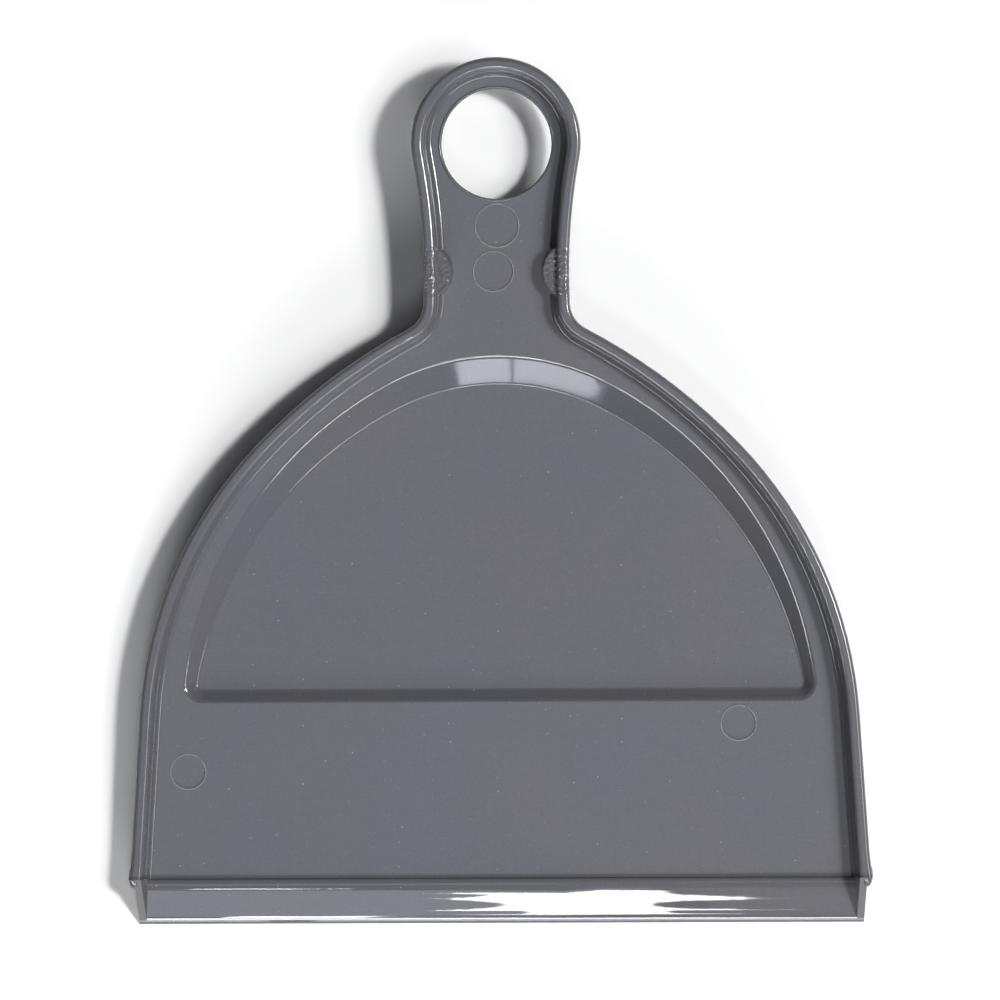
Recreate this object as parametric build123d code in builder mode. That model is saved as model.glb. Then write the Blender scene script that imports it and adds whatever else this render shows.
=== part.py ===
from build123d import *
import os
from math import acos, asin, atan2, cos, degrees, radians, sin, sqrt, tan

# Plan sizes of the rim in millimetres. The mouth faces -Y, the handle +Y, the table is at Z = 0.
overall_length = 196.6
rim_width_at_seam = 168.4
side_flare = 3.8
side_length = 37.8
dome_radius = 97.8
dome_end_angle = 43.7
shoulder_radius = 136.4
neck_radius = 6.5

# Handle: a round end, and hollow sides that draw in to a waist some way before it. The hanging hole lies a
# little before the middle of the round end.
handle_end_radius = 19.25
waist_drop = 2.8
waist_setback = 29.9
hang_hole_diameter = 25.0
hang_hole_setback = 0.4
hang_hole_chamfer = 0.4

# Section of the tray. The floor climbs from the seam to the handle, and the rim climbs a little less.
# The wall's height is the one at the seam.
wall = 1.6
floor_angle = 2.6
rim_angle = 2.2
seam_floor_height = 2.0
wall_height = 6.9
wall_draft = 10.5
floor_chamfer = 0.4
underside_chamfer = 1.6
bead_width = 2.5
bead_height = 2.0
bead_round = 0.95
rim_end_swell = 0.45
rim_end_swell_length = 7.5

# Recessed well in the floor: a straight front, two flank arcs and a crown. Its underside is the flat that
# the pan stands on. One ledge is between the flanks' widest place and the rim's side at the seam, the other
# between the crown and the place where the shoulders would meet.
well_front_setback = 53.1
well_flank_radius = 87.0
well_crown_radius = 50.6
well_side_ledge = 13.7
well_rear_ledge = 21.3
well_corner_radius = 1.5
well_slope = 44.5
well_edge_round = 1.2
well_foot_round = 1.0

# Two half-round bosses inside the handle that pinch the neck of a hand brush.
clip_gap = 20.0
clip_boss_radius = 6.9
clip_boss_height = 4.5
clip_draft = 4.5
clip_setback = 29.3
clip_chamfer = 0.3

# Round witness marks that the ejector pins leave in the floor. The first two are placed from the rim's side
# and the front of the well, the third from the edge of the hole.
mark_depth = 0.15
floor_mark_diameter = 8.0
left_mark_inset = 13.0
left_mark_gap = 18.3
right_mark_inset = 30.0
right_mark_gap = 7.6
handle_mark_diameter = 9.9
handle_mark_gap = 1.1
clip_mark_diameter = 9.1
clip_mark_offset = 0.9

# Front lip: a blade that slopes to the table, lapped over a tongue on the floor's front edge.
lip_length = 10.4
lap_length = 3.0
lap_depth = 0.9
ridge_height = 0.5
ridge_width = 1.2
ridge_round = 0.3
nose_thickness = 1.0
nose_bevel = 0.8
nose_edge = 0.4
nose_round = 0.15

# Extra reach of the cutting bodies, so that no cut ends on a face.
overrun = 2.0

front_y = -overall_length / 2
seam_y = front_y + lip_length
tongue_y = seam_y - lap_length
flare = radians(side_flare)
dome_end = radians(dome_end_angle)
slope = radians(floor_angle)
rim_slope = radians(rim_angle)
draft = radians(wall_draft)

# The tray's own frame: its origin is on the floor at the seam, and its local Y climbs with the floor.
tray_plane = Plane(
    origin=(0, seam_y, seam_floor_height),
    x_dir=(1, 0, 0),
    z_dir=(0, -sin(slope), cos(slope)),
)
up_wall = Axis(tray_plane.origin, tray_plane.z_dir)

# Planes of the rim's top and of the bead's underside, with their origins over the seam.
rim_plane = Plane(
    origin=tray_plane.from_local_coords((0, 0, wall_height)),
    x_dir=(1, 0, 0),
    z_dir=(0, -sin(rim_slope), cos(rim_slope)),
)
bead_plane = rim_plane.offset(-bead_height)
up_rim = Axis(rim_plane.origin, rim_plane.z_dir)

# Places along the tray's local Y, measured from the seam.
handle_end = (overall_length / 2 - bead_plane.origin.Y) / cos(rim_slope)
end_centre = handle_end - handle_end_radius
hole_centre = end_centre - hang_hole_setback
handle_mark = hole_centre - (hang_hole_diameter + handle_mark_diameter) / 2 - handle_mark_gap
waist = end_centre - waist_setback
clip_place = end_centre - clip_setback
well_front = well_front_setback - lip_length

# Rim outline, right half: a flared side, the dome arc and a flatter shoulder arc, each tangent to the last.
half_mouth = rim_width_at_seam / 2
side_top = (half_mouth - side_length * tan(flare), side_length)
dome_centre = (side_top[0] - dome_radius * cos(flare), side_top[1] - dome_radius * sin(flare))
shoulder_foot_y = dome_centre[1] + dome_radius * sin(dome_end)
shoulder_centre = (
    dome_centre[0] - (shoulder_radius - dome_radius) * cos(dome_end),
    dome_centre[1] - (shoulder_radius - dome_radius) * sin(dome_end),
)
shoulder_meet = shoulder_centre[1] + sqrt(shoulder_radius**2 - shoulder_centre[0] ** 2)

# Handle outline, right half: the hollow side's arc is tangent to the round end.
half_waist = handle_end_radius - waist_drop
side_radius = (waist_setback**2 + half_waist**2 - handle_end_radius**2) / (2 * waist_drop)
side_centre = (half_waist + side_radius, waist)
side_turn = degrees(atan2(waist_setback, side_centre[0]))
root_turn = degrees(asin((waist - shoulder_foot_y) / side_radius))


def inner_inset(height):
    """Distance from the rim's outer edge in to the wall's inner face, at a height above the floor."""
    return bead_width + (wall_height - height) * tan(draft)


def outer_inset(height):
    """Distance from the rim's outer edge in to the wall's outer face."""
    return inner_inset(height) - wall / cos(draft)


def floor_z(y):
    """Height of the floor's top face above the table at a place along Y."""
    return seam_floor_height + (y - seam_y) * tan(slope)


def tray_outline(inset, reach):
    """Plan outline of the tray, set in from the rim, with its sides run on past the seam by a reach."""
    dome_inset = dome_radius - inset
    shoulder_inset = shoulder_radius - inset
    side_end = (dome_centre[0] + dome_inset * cos(flare), dome_centre[1] + dome_inset * sin(flare))
    mouth_corner = (side_end[0] + (side_end[1] + reach) * tan(flare), -reach)
    shoulder_turn = degrees(acos(-shoulder_centre[0] / shoulder_inset)) - dome_end_angle
    neck_x = half_waist - inset
    neck_y = shoulder_centre[1] + sqrt(shoulder_inset**2 - (neck_x - shoulder_centre[0]) ** 2)
    with BuildSketch() as outline:
        with BuildLine():
            Line((0, -reach), mouth_corner)
            Line(mouth_corner, side_end)
            CenterArc(dome_centre, dome_inset, side_flare, dome_end_angle - side_flare)
            shoulder = CenterArc(shoulder_centre, shoulder_inset, dome_end_angle, shoulder_turn)
            Line(shoulder @ 1, (0, -reach))
        make_face()
        with BuildLine():
            end = CenterArc((0, end_centre), handle_end_radius - inset, -side_turn, 90 + side_turn)
            side = CenterArc(side_centre, side_radius + inset, 180 - side_turn, side_turn + root_turn)
            Line(side @ 1, (0, shoulder_foot_y))
            Line((0, shoulder_foot_y), end @ 1)
        make_face()
        mirror(about=Plane.YZ)
        neck_corners = [outline.vertices().sort_by_distance((x, neck_y))[0] for x in (-neck_x, neck_x)]
        fillet(neck_corners, neck_radius + inset)
    return outline.sketch


def well_outline(grow):
    """D-shaped outline of the well's floor in world X and Y, drawn out by a distance."""
    front = front_y + well_front_setback
    crown_y = seam_y + shoulder_meet - well_rear_ledge - well_crown_radius
    flank_x = half_mouth - well_side_ledge - well_flank_radius
    centre_gap = well_flank_radius - well_crown_radius
    flank_centre = (flank_x, crown_y - sqrt(centre_gap**2 - flank_x**2))
    crown_turn = degrees(asin(-flank_x / centre_gap))
    foot_turn = degrees(asin((front - flank_centre[1]) / well_flank_radius))
    with BuildSketch() as outline:
        with BuildLine():
            CenterArc((0, crown_y), well_crown_radius, 90 - crown_turn, crown_turn)
            flank = CenterArc(flank_centre, well_flank_radius, foot_turn, 90 - crown_turn - foot_turn)
            Line(flank @ 0, (0, front))
            Line((0, front), (0, crown_y + well_crown_radius))
        make_face()
        mirror(about=Plane.YZ)
        fillet(outline.vertices().group_by(Axis.Y)[0], well_corner_radius)
        if grow:
            offset(amount=grow)
    return outline.sketch


def rim_end(side):
    """Swelling of the rim's end at the seam, run on past it: on the right for a side of 1, left for -1."""
    start = (side * (half_mouth - rim_end_swell_length * tan(flare)), rim_end_swell_length)
    corner = (side * (half_mouth + mouth_reach * tan(flare)), -mouth_reach)
    spread = rim_end_swell * (1 + mouth_reach / rim_end_swell_length) ** 2
    swollen = (corner[0] + side * spread, -mouth_reach)
    with BuildSketch() as swelling:
        with BuildLine():
            TangentArc(start, swollen, tangent=(side * sin(flare), -cos(flare)))
            Polyline(swollen, corner, start)
        make_face()
    return swelling.sketch


def lip_underside():
    """Side-view path of the lip's underside, from its nose back to the tongue and up to the seam."""
    return [
        (front_y, 0),
        (tongue_y, floor_z(tongue_y) - wall / cos(slope)),
        (tongue_y, floor_z(tongue_y) - lap_depth),
        (seam_y, floor_z(seam_y) - lap_depth),
    ]


mouth_reach = lip_length + overrun
rim_face = tray_outline(0, mouth_reach)
wall_foot_face = tray_outline(outer_inset(-wall), mouth_reach)
floor_face = tray_outline(inner_inset(0), mouth_reach + overrun)
boss_limit_face = tray_outline(bead_width, mouth_reach)

# Space inside the tray, from the floor up through the open top and out at the mouth.
with BuildPart() as tray_space:
    with BuildSketch(tray_plane):
        add(floor_face)
    extrude(amount=wall_height + overrun, taper=-wall_draft)
    foot_edges = tray_space.faces().sort_by(up_wall)[0].edges()
    chamfer(foot_edges - foot_edges.filter_by(Axis.X), floor_chamfer)

# Space of the well. It ends just above the floor's top face, so its edge follows the climbing floor.
well_top = floor_z(overall_length / 2)
with BuildPart() as well_space:
    with BuildSketch(Plane.XY.offset(wall)):
        add(well_outline(0))
    extrude(amount=well_top - wall, taper=well_slope - 90)
    fillet(well_space.faces().sort_by(Axis.Z)[0].edges(), well_foot_round)
    split(bisect_by=tray_plane.offset(wall / 10), keep=Keep.BOTTOM)

# Underside of the well: the same form, one wall further out and down.
with BuildPart() as well_pad:
    with BuildSketch(Plane.XY):
        add(well_outline(wall * tan(radians(well_slope) / 2)))
    extrude(amount=well_top, taper=well_slope - 90)
    split(bisect_by=tray_plane.offset(-wall / 2), keep=Keep.BOTTOM)

# Everything in front of the seam, apart from the tongue that the lip laps over.
clear_y = front_y - mouth_reach
clear_top = floor_z(overall_length / 2) + wall_height + overrun
with BuildPart() as mouth_space:
    with BuildSketch(Plane.YZ):
        with BuildLine():
            Polyline(
                (seam_y, clear_top),
                (seam_y, floor_z(seam_y) - lap_depth),
                (tongue_y, floor_z(tongue_y) - lap_depth),
                (tongue_y, -overrun),
                (clear_y, -overrun),
                (clear_y, clear_top),
                close=True,
            )
        make_face()
    extrude(amount=rim_width_at_seam, both=True)

# Brush clip: two drafted pegs, cut off inside the handle's walls.
with BuildPart() as clip_bosses:
    with BuildSketch(tray_plane):
        clip_centre = clip_gap / 2 + clip_boss_radius
        with Locations((-clip_centre, clip_place), (clip_centre, clip_place)):
            Circle(clip_boss_radius)
    extrude(amount=clip_boss_height - clip_chamfer, taper=clip_draft)
    for top in clip_bosses.faces().filter_by(tray_plane).sort_by(up_wall)[-2:]:
        extrude(top, amount=clip_chamfer, taper=45)
    with BuildSketch(tray_plane):
        add(boss_limit_face)
    extrude(amount=clip_boss_height, mode=Mode.INTERSECT)

# The pan is one moulding: tray, beaded rim, well, handle and brush clip.
with BuildPart() as pan:
    with BuildSketch(tray_plane.offset(-wall)):
        add(wall_foot_face)
    extrude(amount=wall + wall_height, taper=-wall_draft)
    split(bisect_by=bead_plane, keep=Keep.BOTTOM)
    foot_edges = pan.faces().sort_by(up_wall)[0].edges()
    chamfer(foot_edges - foot_edges.filter_by(Axis.X), underside_chamfer)
    with BuildSketch(bead_plane):
        add(rim_face)
        add(rim_end(-1))
        add(rim_end(1))
    extrude(amount=bead_height)
    add(tray_space.part, mode=Mode.SUBTRACT)
    rim_edges = pan.faces().sort_by(up_rim)[-1].edges()
    fillet(rim_edges - rim_edges.filter_by(Axis.X), bead_round)
    add(well_pad.part)
    add(well_space.part, mode=Mode.SUBTRACT)
    floor = [
        face
        for face in pan.faces().filter_by(tray_plane)
        if abs(tray_plane.to_local_coords(face.center()).Z) < wall / 2 and face.inner_wires()
    ][0]
    fillet(floor.inner_wires()[0].edges(), well_edge_round)
    with BuildSketch(tray_plane):
        with Locations((0, hole_centre)):
            Circle(hang_hole_diameter / 2)
    extrude(amount=-wall - overrun, mode=Mode.SUBTRACT)
    hole_edges = pan.edges().filter_by(GeomType.CIRCLE).filter_by(
        lambda edge: edge.radius == hang_hole_diameter / 2
    )
    chamfer(hole_edges.sort_by(up_wall)[-1], hang_hole_chamfer)
    with BuildSketch(tray_plane):
        with Locations((left_mark_inset - half_mouth, well_front - left_mark_gap)):
            Circle(floor_mark_diameter / 2)
        with Locations((half_mouth - right_mark_inset, well_front - right_mark_gap)):
            Circle(floor_mark_diameter / 2)
        with Locations((0, handle_mark)):
            Circle(handle_mark_diameter / 2)
        with Locations((-clip_mark_offset, clip_place)):
            Circle(clip_mark_diameter / 2)
    extrude(amount=-mark_depth, mode=Mode.SUBTRACT)
    add(clip_bosses.part)
    add(mouth_space.part, mode=Mode.SUBTRACT)

pan.part.label = "pan"

# Front of the lip in side view: the slope's end and the foot of the bevel below it.
nose_path = [(front_y + nose_bevel, nose_thickness), (front_y, nose_edge)]

# Wall ends that flank the lip: the tray's wall carried on past the seam and cut down to the lip's nose.
wall_end_foot = -(wall + overrun)
with BuildPart() as wall_block:
    with BuildSketch(tray_plane.offset(wall_end_foot)):
        add(tray_outline(outer_inset(wall_end_foot), mouth_reach))
    extrude(amount=wall_height - wall_end_foot, taper=-wall_draft)

with BuildPart() as wall_ends:
    with BuildSketch(Plane.YZ):
        with BuildLine():
            Polyline(
                *lip_underside(),
                (seam_y, seam_floor_height + wall_height * cos(slope)),
                *nose_path,
                close=True,
            )
        make_face()
    extrude(amount=rim_width_at_seam, both=True)
    add(wall_block.part, mode=Mode.INTERSECT)
    with BuildSketch(tray_plane.offset(wall_end_foot)):
        add(tray_outline(inner_inset(wall_end_foot), mouth_reach + overrun))
    extrude(amount=wall_height - wall_end_foot, taper=-wall_draft, mode=Mode.SUBTRACT)

with BuildPart() as front_lip:
    with BuildSketch(Plane.YZ) as lip_section:
        with BuildLine():
            ridge_z = floor_z(seam_y) + ridge_height
            ridge_path = [(seam_y, ridge_z), (seam_y - ridge_width, ridge_z)]
            Polyline(*lip_underside(), *ridge_path, *nose_path, close=True)
        make_face()
        for corners, radius in ((ridge_path, ridge_round), (nose_path, nose_round)):
            for corner in corners:
                fillet(lip_section.vertices().sort_by_distance(corner)[0], radius)
    extrude(amount=rim_width_at_seam, both=True)
    add(wall_block.part, mode=Mode.INTERSECT)
    add(wall_ends.part)

front_lip.part.label = "front_lip"

os.makedirs("parts", exist_ok=True)
export_step(pan.part, "parts/pan.step")
export_step(front_lip.part, "parts/front_lip.step")
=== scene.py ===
from math import cos, pi, radians, sin, tan, tau

import bmesh
import bpy
from mathutils import Matrix, Vector


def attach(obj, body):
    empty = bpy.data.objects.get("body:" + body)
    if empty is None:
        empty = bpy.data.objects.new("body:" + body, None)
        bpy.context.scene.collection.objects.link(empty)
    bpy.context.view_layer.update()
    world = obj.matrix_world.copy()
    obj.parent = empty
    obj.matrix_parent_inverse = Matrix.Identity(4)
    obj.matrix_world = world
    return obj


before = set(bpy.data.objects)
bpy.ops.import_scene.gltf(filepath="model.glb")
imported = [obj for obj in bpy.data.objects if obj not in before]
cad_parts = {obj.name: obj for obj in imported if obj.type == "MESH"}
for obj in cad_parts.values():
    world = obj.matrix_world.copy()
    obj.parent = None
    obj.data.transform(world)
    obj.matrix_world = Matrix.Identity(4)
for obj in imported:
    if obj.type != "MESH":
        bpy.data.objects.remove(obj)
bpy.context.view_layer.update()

# All lengths are in metres and all angles in degrees.

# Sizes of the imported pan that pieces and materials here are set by.
FLOOR_ANGLE = 2.6
SEAM_Y = -0.0879
SEAM_FLOOR_Z = 0.0020
WALL_DRAFT = 10.5

# Camera: the photo is taken from almost straight above. Its frame is FRAME_WIDTH across at the table.
FRAME_WIDTH = 0.2279
CAMERA_HEIGHT = 2.0
CAMERA_TILT = 2.0
CAMERA_ROLL = -0.28
VIEW_CENTRE = Vector((0.0001, -0.00194, 0.0))
SENSOR_WIDTH = 36.0

# Ejector pin marks: X, distance from the seam up the floor, and diameter.
PIN_MARKS = {
    "ring_left": (-0.0712, 0.0244, 0.0080),
    "ring_right": (0.0542, 0.0351, 0.0080),
    "ring_handle": (0.0, 0.1484, 0.0099),
    "ring_clip": (-0.0009, 0.1380, 0.0091),
}
RING_THICKNESS = 0.00014
RING_SEGMENTS = (96, 12)

# Rounded upper edge of the hanging hole: distance from the seam up the floor, diameter and thickness.
HOLE_EDGE = (0.16692, 0.0258, 0.00025)

# Fillet along the foot of the wall, over the CAD pan's chamfer. Its path is found by the faces beside it: the
# chamfer's normals lie between two shares of the floor's, and the floor's own are all but the same.
FOOT_CHAMFER = 0.0004
FOOT_RADIUS = 0.0010
FOOT_STEPS = 8
CHAMFER_LEAN = (0.6, 0.9)
FLOOR_LEAN = 0.9999
WELD_DISTANCE = 1e-6

# Round ends of the rim at the seam: the place of the right one, its half sizes and its mesh.
RIM_TIP = Vector((0.0833, -0.0872, 0.0076))
RIM_TIP_SIZE = (0.00125, 0.0028, 0.0011)
RIM_TIP_SEGMENTS = (32, 16)

# Tops of the brush clip's bosses: the right one's place in plan, the reach of the pits round it, their least
# height over the floor, and the size and depth of the pits.
BOSS_PLACE = (0.0138, 0.0498)
BOSS_REACH = 0.0056
BOSS_TOP = 0.0040
PIT_SIZE = 0.0009
PIT_DEPTH = 0.0003

# Lip: the top of its blade in Y and Z, the blade's slope, and where its wall ends rise from it.
BLADE_TOP = (-0.0891, 0.0020)
BLADE_ANGLE = 10.0
LIP_HALF_WIDTH = 0.0795
WALL_END_LIFT = 0.0005

# Waves of the lip's face: they grow with the distance from a still place in X up to a limit, repeat along Y,
# and fade out over a short way at the nose.
WAVE_STILL_X = 0.0190
WAVE_LIMIT_X = 0.025
WAVE_MIDDLE_Y = -0.09420
WAVE_LENGTH = 0.0057
WAVE_GROWTH = 0.00068
WAVE_FADE = 0.0008

# The lip's face rolls over towards its long edges: where each roll starts in Y, and its radius. The roll to
# the ridge starts nearer the nose on the left than on the right, and changes over between two places in X.
RIDGE_ROLL_LEFT = -0.0918
RIDGE_ROLL_RIGHT = -0.0910
RIDGE_ROLL_X = (0.014, 0.022)
RIDGE_ROLL_RADIUS = 0.020
NOSE_ROLL = -0.0963
NOSE_ROLL_RADIUS = 0.010

# Broad lumps in the lip's face: their size and height.
LUMP_SIZE = 0.014
LUMP_HEIGHT = 0.00006

# Painted shade in the crease at the seam, where the plastic's colour is darkened: its middle in Y, the
# distances from it between which it fades, and how dark it is painted.
CREASE_Y = SEAM_Y + 0.0002
CREASE_REACH = (0.0002, 0.0009)
CREASE_PAINTED_SHADE = 0.55

# Top of the rim at the seam, its slope, and the heights from it between which the bead's softer finish sets
# in. The wall ends of the lip have their own finish, and a darker, browner colour painted on them as shade.
RIM_SEAM_Z = 0.0089
RIM_ANGLE = 2.2
BEAD_REACH = (-0.0018, -0.0008)
BEAD_ROUGHNESS = 0.18
WALL_END_ROUGHNESS = 0.45
WALL_END_PAINTED_SHADE = (0.104, 0.100, 0.096)

# Plastics: the two greys that their clouds run between, the least roughness, and the height of the relief.
PAN_PLASTIC = ((0.112, 0.114, 0.131), (0.115, 0.114, 0.127), 0.07, 0.000010)
LIP_PLASTIC = ((0.114, 0.116, 0.132), (0.117, 0.116, 0.128), 0.025, 0.000006)
RING_PLASTIC = ((0.19, 0.19, 0.20), (0.22, 0.22, 0.22), 0.25, 0.00004)
PLASTIC_IOR = 1.5
CLOUD_SIZE = 0.035
CLOUD_SPAN = (0.38, 0.62)
GRAIN_SIZE = 0.0006
GRAIN_SHADES = (0.95, 1.05)
GLOSS_SIZE = 0.012
GLOSS_SPREAD = 1.4
RELIEF_SIZE = 0.004

# Dust: spacing, radius and share of its specks, how strongly each kind shows, and how much rougher it is.
DUST_GREY = (0.60, 0.60, 0.60)
DUST = (0.0056, 0.00018, 0.35)
DUST_STRENGTH = 0.28
DUST_ROUGHNESS = 0.4
FINE_DUST = (0.0022, 0.00011, 0.4)
FINE_DUST_STRENGTH = 0.20

# Hair scratches: direction, length and width of the lines in two layers. The width is a share of the noise
# that they are cut from, the lines are longer than wide by a ratio, and patches of them are some lengths
# across.
SCRATCHES = ((24, 0.02, 0.004), (-61, 0.03, 0.003))
SCRATCH_STRENGTH = 0.12
SCRATCH_RATIO = 60
SCRATCH_PATCH = 2.5
PATCH_SPAN = (0.56, 0.66)

# Table: half its width, its whites and their grain, the share by which it is shown whiter than it lights the
# pan, and the distances between which it turns plain white.
TABLE_HALF = 20.0
PAPER_WHITES = (0.955, 0.97)
PAPER_GRAIN = 0.004
PAPER_ROUGHNESS = 0.9
TABLE_LIFT = 1.12
TABLE_FADE = (0.25, 0.8)

# Span of the noise nodes' values that is spread over a range of shades or finishes.
NOISE_SPAN = (0.3, 0.7)

# Light of the dark room, at the horizon and overhead, and the tint of the broad lamps that the pan mirrors.
ROOM_LIGHT = (0.005, 0.02)
COOL_WHITE = (0.96, 0.99, 1.10)

floor_up = Vector((0, -sin(radians(FLOOR_ANGLE)), cos(radians(FLOOR_ANGLE))))


def floor_point(x, along):
    """Point of the tray's floor, given its X and its distance from the seam up the slope."""
    slope = radians(FLOOR_ANGLE)
    return Vector((x, SEAM_Y + along * cos(slope), SEAM_FLOOR_Z + along * sin(slope)))


def add_node(tree, kind, inputs=None, **settings):
    """New shader node with its settings and inputs. An input is a value, or a socket to link."""
    made = tree.nodes.new(kind)
    for name, value in settings.items():
        setattr(made, name, value)
    for name, value in (inputs or {}).items():
        if isinstance(value, bpy.types.NodeSocket):
            tree.links.new(value, made.inputs[name])
        else:
            made.inputs[name].default_value = value
    return made


def calculate(tree, operation, *values):
    """Result of a maths node on numbers or sockets."""
    return add_node(tree, "ShaderNodeMath", dict(enumerate(values)), operation=operation).outputs[0]


def ranged(tree, value, from_low, from_high, to_low, to_high):
    """A value carried from one range to another, and held within it."""
    ends = {"From Min": from_low, "From Max": from_high, "To Min": to_low, "To Max": to_high}
    return add_node(tree, "ShaderNodeMapRange", {"Value": value, **ends}).outputs["Result"]


def axes_of(tree, place):
    """X, Y and Z of a place, by name."""
    return add_node(tree, "ShaderNodeSeparateXYZ", {0: place}).outputs


def height_along(tree, place, up):
    """Height of a place along a direction."""
    dot = add_node(tree, "ShaderNodeVectorMath", {0: place, 1: up}, operation="DOT_PRODUCT")
    return dot.outputs["Value"]


def mix_colour(tree, share, first, second):
    """Blend of two colours. The first may be a socket."""
    inputs = {0: share, 6: (*first, 1) if isinstance(first, tuple) else first, 7: (*second, 1)}
    return add_node(tree, "ShaderNodeMix", inputs, data_type="RGBA").outputs[2]


def noise(tree, place, size, detail=2.0):
    """Soft noise about 0.5, with lumps of a size in metres."""
    inputs = {"Vector": place, "Scale": 1 / size, "Detail": detail}
    return add_node(tree, "ShaderNodeTexNoise", inputs).outputs["Fac"]


def specks(tree, place, spacing, radius, share):
    """Round specks in a share of the cells of a random plan pattern, none wider than a radius allows."""
    inputs = {"Vector": place, "Scale": 1 / spacing}
    cells = add_node(tree, "ShaderNodeTexVoronoi", inputs, voronoi_dimensions="2D")
    chance = add_node(tree, "ShaderNodeSeparateColor", {0: cells.outputs["Color"]}).outputs[0]
    reach = ranged(tree, chance, 1 - share, 1, 0, radius / spacing)
    return calculate(tree, "LESS_THAN", cells.outputs["Distance"], reach)


def scratches(tree, place, turn, length, width):
    """Fine hair lines in one direction, in scattered patches."""
    scale = (1 / length, SCRATCH_RATIO / length, 1 / length)
    inputs = {"Vector": place, "Rotation": (0, 0, radians(turn)), "Scale": scale}
    along = add_node(tree, "ShaderNodeMapping", inputs).outputs[0]
    lines = noise(tree, along, 1.0, 0.0)
    off_line = calculate(tree, "ABSOLUTE", calculate(tree, "SUBTRACT", lines, 0.5))
    hair = ranged(tree, off_line, 0, width, 1, 0)
    patch = ranged(tree, noise(tree, along, SCRATCH_PATCH, 1.0), *PATCH_SPAN, 0, 1)
    return calculate(tree, "MULTIPLY", hair, patch)


def wall_ends(tree, place):
    """1 on the lip's wall ends and 0 on its blade."""
    axes = axes_of(tree, place)
    beyond = calculate(tree, "GREATER_THAN", calculate(tree, "ABSOLUTE", axes["X"]), LIP_HALF_WIDTH)
    slope = tan(radians(BLADE_ANGLE))
    lift = calculate(tree, "SUBTRACT", axes["Z"], calculate(tree, "MULTIPLY", axes["Y"], slope))
    high = calculate(tree, "GREATER_THAN", lift, BLADE_TOP[1] - BLADE_TOP[0] * slope + WALL_END_LIFT)
    return calculate(tree, "MULTIPLY", beyond, high)


def lip_waves(tree, place):
    """Height of the shallow waves, lumps and rolled edges in the lip's face."""
    axes = axes_of(tree, place)
    away = calculate(tree, "SUBTRACT", axes["X"], WAVE_STILL_X)
    away = calculate(tree, "MINIMUM", calculate(tree, "MAXIMUM", away, -WAVE_LIMIT_X), WAVE_LIMIT_X)
    fade = ranged(tree, axes["Y"], NOSE_ROLL, NOSE_ROLL + WAVE_FADE, 0, WAVE_GROWTH)
    growth = calculate(tree, "MULTIPLY", away, fade)
    from_middle = calculate(tree, "SUBTRACT", axes["Y"], WAVE_MIDDLE_Y)
    turn = calculate(tree, "MULTIPLY", from_middle, tau / WAVE_LENGTH)
    waves = calculate(tree, "MULTIPLY", growth, calculate(tree, "SINE", turn))
    lumps = calculate(tree, "MULTIPLY", noise(tree, place, LUMP_SIZE, 0.0), LUMP_HEIGHT)
    waves = calculate(tree, "ADD", waves, lumps)
    ridge_start = ranged(tree, axes["X"], *RIDGE_ROLL_X, RIDGE_ROLL_LEFT, RIDGE_ROLL_RIGHT)
    into_ridge = calculate(tree, "MAXIMUM", calculate(tree, "SUBTRACT", axes["Y"], ridge_start), 0.0)
    into_nose = calculate(tree, "MAXIMUM", calculate(tree, "SUBTRACT", NOSE_ROLL, axes["Y"]), 0.0)
    for into, radius in ((into_ridge, RIDGE_ROLL_RADIUS), (into_nose, NOSE_ROLL_RADIUS)):
        drop = calculate(tree, "DIVIDE", calculate(tree, "MULTIPLY", into, into), 2 * radius)
        waves = calculate(tree, "SUBTRACT", waves, drop)
    blade = calculate(tree, "SUBTRACT", 1.0, wall_ends(tree, place))
    return calculate(tree, "MULTIPLY", blade, waves)


def bead_top(tree, place):
    """1 on the rim's bead and 0 further down the wall."""
    slope = radians(RIM_ANGLE)
    rim_up = Vector((0, -sin(slope), cos(slope)))
    rim_height = rim_up.dot(Vector((0, SEAM_Y, RIM_SEAM_Z)))
    from_rim = calculate(tree, "SUBTRACT", height_along(tree, place, rim_up), rim_height)
    return ranged(tree, from_rim, *BEAD_REACH, 0, 1)


def boss_tops(tree, place):
    """1 on the tops of the brush clip's bosses and 0 elsewhere."""
    axes = axes_of(tree, place)
    least = floor_up.dot(floor_point(0, 0)) + BOSS_TOP
    high = calculate(tree, "GREATER_THAN", height_along(tree, place, floor_up), least)
    across = calculate(tree, "SUBTRACT", calculate(tree, "ABSOLUTE", axes["X"]), BOSS_PLACE[0])
    along = calculate(tree, "SUBTRACT", axes["Y"], BOSS_PLACE[1])
    squares = [calculate(tree, "MULTIPLY", side, side) for side in (across, along)]
    away = calculate(tree, "SQRT", calculate(tree, "ADD", *squares))
    return calculate(tree, "MULTIPLY", high, calculate(tree, "LESS_THAN", away, BOSS_REACH))


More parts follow.
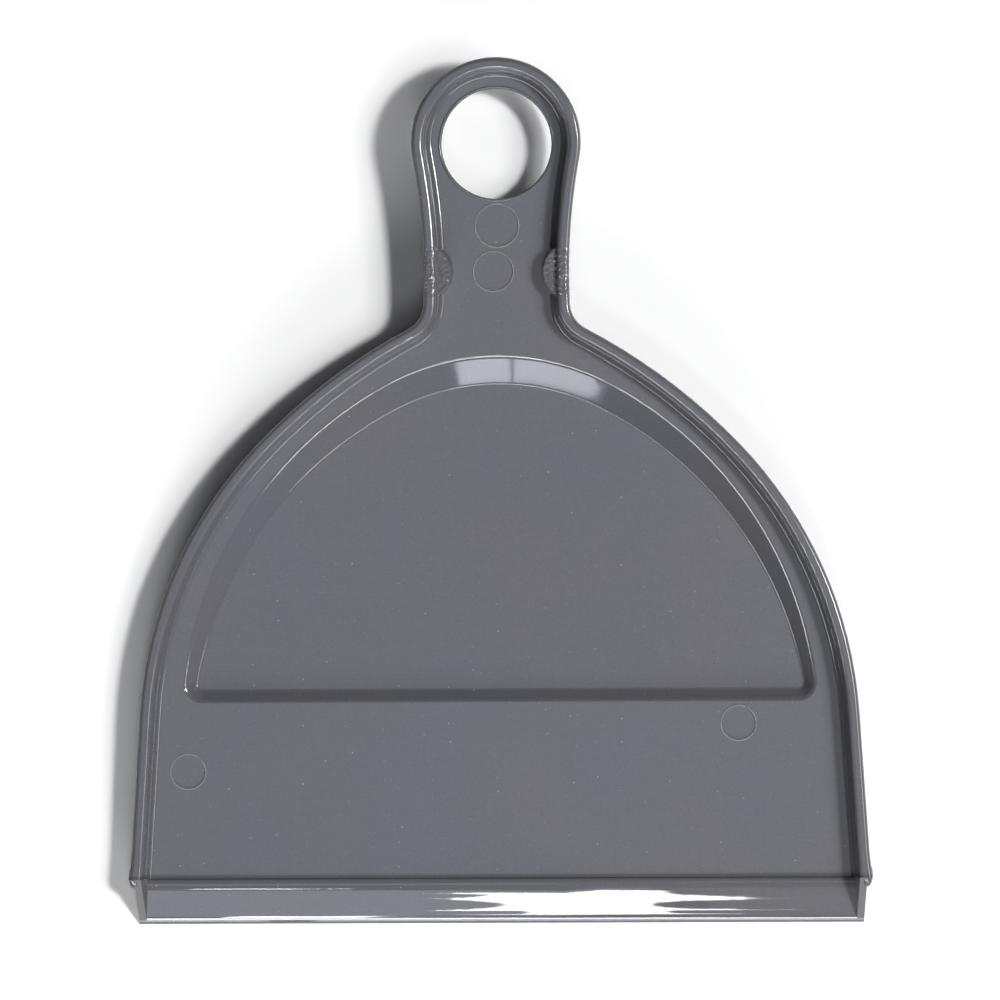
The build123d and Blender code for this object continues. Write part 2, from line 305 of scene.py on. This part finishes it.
def plastic(name, grey, warm, roughness, relief, waves=None, matte=None, matte_roughness=0.0, painted_shade=None):
    """Glossy moulded plastic with clouds between two greys, dust specks, hair scratches and a faint relief.

    Waves, if given, are added to the relief. Matte gives the places with a rougher finish, and the last
    argument a darker colour painted on them as shade. The colour is also painted darker in the crease at the
    seam.
    """
    material = bpy.data.materials.new(name)
    material.use_nodes = True
    tree = material.node_tree
    place = add_node(tree, "ShaderNodeTexCoord").outputs["Object"]

    clouds = ranged(tree, noise(tree, place, CLOUD_SIZE), *CLOUD_SPAN, 0, 1)
    tint = mix_colour(tree, clouds, grey, warm)
    grain = ranged(tree, noise(tree, place, GRAIN_SIZE), *NOISE_SPAN, *GRAIN_SHADES)
    along = axes_of(tree, place)["Y"]
    # Painted shade: the colour is darkened in the crease at the seam.
    from_crease = calculate(tree, "ABSOLUTE", calculate(tree, "SUBTRACT", along, CREASE_Y))
    crease = ranged(tree, from_crease, *CREASE_REACH, CREASE_PAINTED_SHADE, 1)
    shade = calculate(tree, "MULTIPLY", grain, crease)
    shaded = add_node(tree, "ShaderNodeVectorMath", {0: tint, "Scale": shade}, operation="SCALE")
    dust = specks(tree, place, *DUST)
    fine_dust = calculate(tree, "MULTIPLY", specks(tree, place, *FINE_DUST), FINE_DUST_STRENGTH)
    hairs = calculate(tree, "MAXIMUM", *(scratches(tree, place, *layer) for layer in SCRATCHES))
    marks = calculate(tree, "MAXIMUM", fine_dust, calculate(tree, "MULTIPLY", hairs, SCRATCH_STRENGTH))
    marks = calculate(tree, "MAXIMUM", marks, calculate(tree, "MULTIPLY", dust, DUST_STRENGTH))
    colour = mix_colour(tree, marks, shaded.outputs[0], DUST_GREY)

    finishes = (roughness, roughness * GLOSS_SPREAD)
    gloss = ranged(tree, noise(tree, place, GLOSS_SIZE, 3.0), *NOISE_SPAN, *finishes)
    if matte:
        finish = calculate(tree, "MULTIPLY", matte(tree, place), matte_roughness)
        gloss = calculate(tree, "MAXIMUM", gloss, finish)
    # Painted shade: the matte places take a darker colour, where one is given.
    if painted_shade:
        colour = mix_colour(tree, matte(tree, place), colour, painted_shade)
    gloss = calculate(tree, "ADD", gloss, calculate(tree, "MULTIPLY", dust, DUST_ROUGHNESS))

    height = calculate(tree, "MULTIPLY", noise(tree, place, RELIEF_SIZE, 1.0), relief)
    pits = calculate(tree, "MULTIPLY", noise(tree, place, PIT_SIZE, 1.0), boss_tops(tree, place))
    height = calculate(tree, "ADD", height, calculate(tree, "MULTIPLY", pits, PIT_DEPTH))
    if waves:
        height = calculate(tree, "ADD", height, waves(tree, place))
    bump = add_node(tree, "ShaderNodeBump", {"Height": height, "Distance": 1.0})

    shader = tree.nodes["Principled BSDF"]
    shader.inputs["IOR"].default_value = PLASTIC_IOR
    tree.links.new(colour, shader.inputs["Base Color"])
    tree.links.new(gloss, shader.inputs["Roughness"])
    tree.links.new(bump.outputs["Normal"], shader.inputs["Normal"])
    return material


def dress(node, material):
    """Gives a CAD node's object one material."""
    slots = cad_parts[node].data.materials
    slots.clear()
    slots.append(material)


def floor_ring(name, material, x, along, diameter, thickness):
    """Thin raised ring, half sunk in the floor."""
    around, across = RING_SEGMENTS
    bpy.ops.mesh.primitive_torus_add(
        major_radius=diameter / 2,
        minor_radius=thickness,
        major_segments=around,
        minor_segments=across,
        location=floor_point(x, along),
        rotation=(radians(FLOOR_ANGLE), 0, 0),
    )
    bpy.ops.object.shade_smooth()
    ring = bpy.context.object
    ring.name = name
    ring.data.materials.append(material)
    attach(ring, "root")


def wall_foot(material):
    """Hollow fillet along the foot of the tray's wall. It follows the edges where floor and chamfer meet."""
    shell = bmesh.new()
    shell.from_mesh(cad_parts["pan"].data)
    bmesh.ops.remove_doubles(shell, verts=shell.verts, dist=WELD_DISTANCE)
    shell.normal_update()
    least, most = CHAMFER_LEAN
    rising = {face for face in shell.faces if least < face.normal.dot(floor_up) < most}
    level = {face for face in shell.faces if face.normal.dot(floor_up) > FLOOR_LEAN}
    turns = [radians(90 - WALL_DRAFT) * step / FOOT_STEPS for step in range(FOOT_STEPS + 1)]
    reach = FOOT_RADIUS * tan(turns[-1] / 2)
    strip = bmesh.new()
    rows = {}
    for edge in shell.edges:
        sides = set(edge.link_faces)
        if not (sides & rising and sides & level) or edge.is_convex:
            continue
        for vert in edge.verts:
            if vert not in rows:
                lean = sum((face.normal for face in vert.link_faces if face in rising), Vector())
                out = -(lean - lean.dot(floor_up) * floor_up).normalized()
                middle = vert.co + (FOOT_CHAMFER - reach) * out + FOOT_RADIUS * floor_up
                rows[vert] = [
                    strip.verts.new(middle + FOOT_RADIUS * (sin(turn) * out - cos(turn) * floor_up))
                    for turn in turns
                ]
        first, second = (rows[vert] for vert in edge.verts)
        for step in range(FOOT_STEPS):
            strip.faces.new((first[step], second[step], second[step + 1], first[step + 1]))
    strip.normal_update()
    for face in strip.faces:
        face.smooth = True
        if face.normal.dot(floor_up) < 0:
            face.normal_flip()
    mesh = bpy.data.meshes.new("wall_foot")
    strip.to_mesh(mesh)
    strip.free()
    shell.free()
    mesh.materials.append(material)
    foot = bpy.data.objects.new("wall_foot", mesh)
    bpy.context.scene.collection.objects.link(foot)
    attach(foot, "root")


def rim_tip(name, material, side):
    """Round end of the rim at the seam, on the right for a side of 1 and on the left for -1."""
    around, along = RIM_TIP_SEGMENTS
    bpy.ops.mesh.primitive_uv_sphere_add(segments=around, ring_count=along, radius=1, scale=RIM_TIP_SIZE)
    bpy.ops.object.shade_smooth()
    tip = bpy.context.object
    tip.name = name
    tip.location = (side * RIM_TIP.x, RIM_TIP.y, RIM_TIP.z)
    tip.data.materials.append(material)
    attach(tip, "root")


def white_table():
    """Table that the pan lies on. Far from the pan it looks plain white, straight or mirrored."""
    mesh = bpy.data.meshes.new("table")
    corners = [(x * TABLE_HALF, y * TABLE_HALF, 0) for x, y in ((-1, -1), (1, -1), (1, 1), (-1, 1))]
    mesh.from_pydata(corners, [], [(0, 1, 2, 3)])
    table = bpy.data.objects.new("table", mesh)
    bpy.context.scene.collection.objects.link(table)
    material = bpy.data.materials.new("table_white")
    material.use_nodes = True
    tree = material.node_tree
    place = add_node(tree, "ShaderNodeTexCoord").outputs["Object"]
    rays = add_node(tree, "ShaderNodeLightPath").outputs
    mirrored = calculate(tree, "MAXIMUM", rays["Is Glossy Ray"], rays["Is Transmission Ray"])
    seen = calculate(tree, "MAXIMUM", rays["Is Camera Ray"], mirrored)
    reach = add_node(tree, "ShaderNodeVectorMath", {0: place}, operation="LENGTH").outputs["Value"]
    glow = calculate(tree, "MULTIPLY", seen, ranged(tree, reach, *TABLE_FADE, 0, 1))
    paper = ranged(tree, noise(tree, place, PAPER_GRAIN, 4.0), *NOISE_SPAN, *PAPER_WHITES)
    shown = calculate(tree, "MULTIPLY", paper, ranged(tree, seen, 0, 1, 1, TABLE_LIFT))
    shown = calculate(tree, "MULTIPLY", shown, calculate(tree, "SUBTRACT", 1.0, glow))
    shader = tree.nodes["Principled BSDF"]
    tree.links.new(shown, shader.inputs["Base Color"])
    tree.links.new(glow, shader.inputs["Emission Strength"])
    shader.inputs["Emission Color"].default_value = (1, 1, 1, 1)
    shader.inputs["Roughness"].default_value = PAPER_ROUGHNESS
    shader.inputs["Specular IOR Level"].default_value = 0.0
    mesh.materials.append(material)


def area_light(
    name, azimuth, elevation, distance, width, height, radiance, tint=(1, 1, 1), shape="RECTANGLE"
):
    """Flat lamp that faces the pan. Azimuth runs from the mouth's side (-Y) towards +X."""
    data = bpy.data.lights.new(name, "AREA")
    data.shape = shape
    data.size = width
    data.size_y = height
    area = width * height * (pi / 4 if shape == "ELLIPSE" else 1)
    data.energy = radiance * pi * area
    data.color = tint
    lamp = bpy.data.objects.new(name, data)
    a, e = radians(azimuth), radians(elevation)
    out = Vector((sin(a) * cos(e), -cos(a) * cos(e), sin(e)))
    lamp.location = distance * out
    lamp.rotation_euler = (-out).to_track_quat("-Z", "Y").to_euler()
    bpy.context.scene.collection.objects.link(lamp)
    return lamp


def studio_world():
    """Dark room, a little paler overhead."""
    world = bpy.data.worlds.new("studio")
    bpy.context.scene.world = world
    world.use_nodes = True
    tree = world.node_tree
    out = add_node(tree, "ShaderNodeTexCoord").outputs["Generated"]
    room = ranged(tree, axes_of(tree, out)["Z"], 0, 1, *ROOM_LIGHT)
    tree.links.new(room, tree.nodes["Background"].inputs["Color"])


def photo_camera():
    """Camera over the pan, at the photo's angle."""
    data = bpy.data.cameras.new("camera")
    data.sensor_width = SENSOR_WIDTH
    data.lens = SENSOR_WIDTH * CAMERA_HEIGHT / FRAME_WIDTH
    camera = bpy.data.objects.new("camera", data)
    turn = Matrix.Rotation(radians(CAMERA_ROLL), 4, "Z") @ Matrix.Rotation(radians(CAMERA_TILT), 4, "Y")
    lift = Matrix.Translation((0, 0, CAMERA_HEIGHT))
    camera.matrix_world = Matrix.Translation(VIEW_CENTRE) @ turn @ lift
    bpy.context.scene.collection.objects.link(camera)
    bpy.context.scene.camera = camera


pan_grey = plastic("pan_grey", *PAN_PLASTIC, matte=bead_top, matte_roughness=BEAD_ROUGHNESS)
dress("pan", pan_grey)
wall_foot(pan_grey)
rim_tip("rim_tip_left", pan_grey, -1)
rim_tip("rim_tip_right", pan_grey, 1)
# The lip's wall ends get a rougher finish and a darker, browner colour painted on them as shade.
lip_grey = plastic("lip_grey", *LIP_PLASTIC, lip_waves, wall_ends, WALL_END_ROUGHNESS, WALL_END_PAINTED_SHADE)
dress("front_lip", lip_grey)
ring_grey = plastic("ring_grey", *RING_PLASTIC)
for mark, (x, along, diameter) in PIN_MARKS.items():
    floor_ring(mark, ring_grey, x, along, diameter, RING_THICKNESS)
floor_ring("hole_edge", pan_grey, 0, *HOLE_EDGE)
white_table()

# Lamps: azimuth, elevation, distance, width, height and radiance.
# The key casts the shadows. The two soft lamps fill them, and the front one isn't mirrored.
area_light("key", 98, 57.4, 3.0, 0.335, 0.335, 149)
area_light("side_soft", 90, 49, 1.5, 0.80, 0.34, 9.6)
area_light("front_soft", -2, 21, 1.5, 1.10, 0.48, 8.2).visible_glossy = False
# Thin lines along rounded edges, and the two bright panes on the well's rear face.
area_light("edge_strip", -14, 52, 1.5, 2.8, 0.18, 20).visible_diffuse = False
area_light("front_low_left", -15.3, 4.1, 1.2, 0.406, 0.17, 7.2, COOL_WHITE)
area_light("front_low_right", 1.3, 4.1, 1.2, 0.262, 0.17, 7.2, COOL_WHITE)
# Tongues of light on the lip, and the lines along its ridge and nose.
area_light("front_high", 0, 62.4, 1.04, 0.114, 0.058, 23, shape="ELLIPSE")
area_light("ridge_strip", -18.5, 68.9, 1.035, 0.046, 0.020, 25)
area_light("nose_strip", -9.8, 56.5, 1.05, 0.051, 0.070, 28).visible_diffuse = False
# Sheen of the floor and of the lip's left and right parts.
area_light("ceiling", 0, 86, 1.5, 0.44, 0.44, 1.05, COOL_WHITE)
area_light("ceiling_front", -10, 63.7, 1.54, 0.22, 0.25, 2.2, COOL_WHITE)
area_light("ceiling_right", 5.9, 63.9, 1.54, 0.09, 0.25, 0.7, COOL_WHITE)
studio_world()
photo_camera()
bpy.context.scene.view_settings.view_transform = "Standard"
